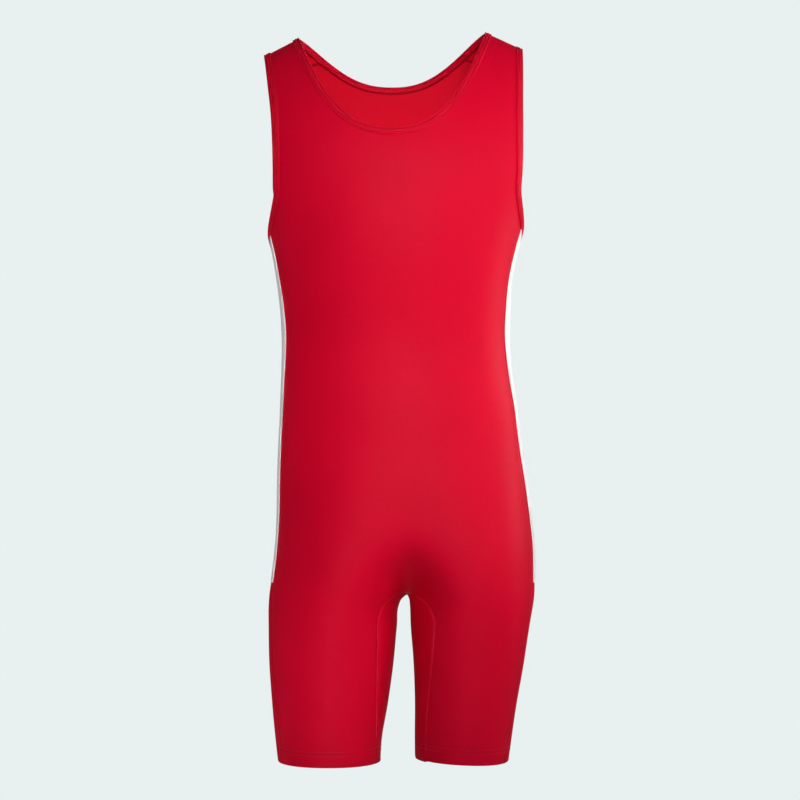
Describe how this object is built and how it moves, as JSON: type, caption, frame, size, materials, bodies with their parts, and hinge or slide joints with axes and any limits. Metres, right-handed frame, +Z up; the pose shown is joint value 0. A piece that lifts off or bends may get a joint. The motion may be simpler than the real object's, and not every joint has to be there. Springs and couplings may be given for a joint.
{
  "type": "weightlifting singlet",
  "caption": "Close-fitting sleeveless sports garment with a scoop neck, deep armholes, mid-thigh legs, a gusset and pale side bands, filled out as worn.",
  "frame": {"origin": "midway between the ridges of the shoulder straps, where the wearer's shoulders hold the garment up", "axes": "+Z up, the front faces -Y, the wearer's left is at +X"},
  "size_m": [0.3442, 0.2543, 0.9232],
  "materials": {
    "red_knit": "smooth satin warp knit",
    "white_knit": "smooth matt warp knit"
  },
  "bodies": {
    "root": {"front_panel": "red_knit", "back_panel": "red_knit", "side_panel_left": "red_knit", "side_panel_right": "red_knit", "side_band_left": "white_knit", "side_band_right": "white_knit", "gusset": "red_knit", "neck_binding": "red_knit", "armhole_binding_left": "red_knit", "armhole_binding_right": "red_knit"}
  },
  "joints": []
}
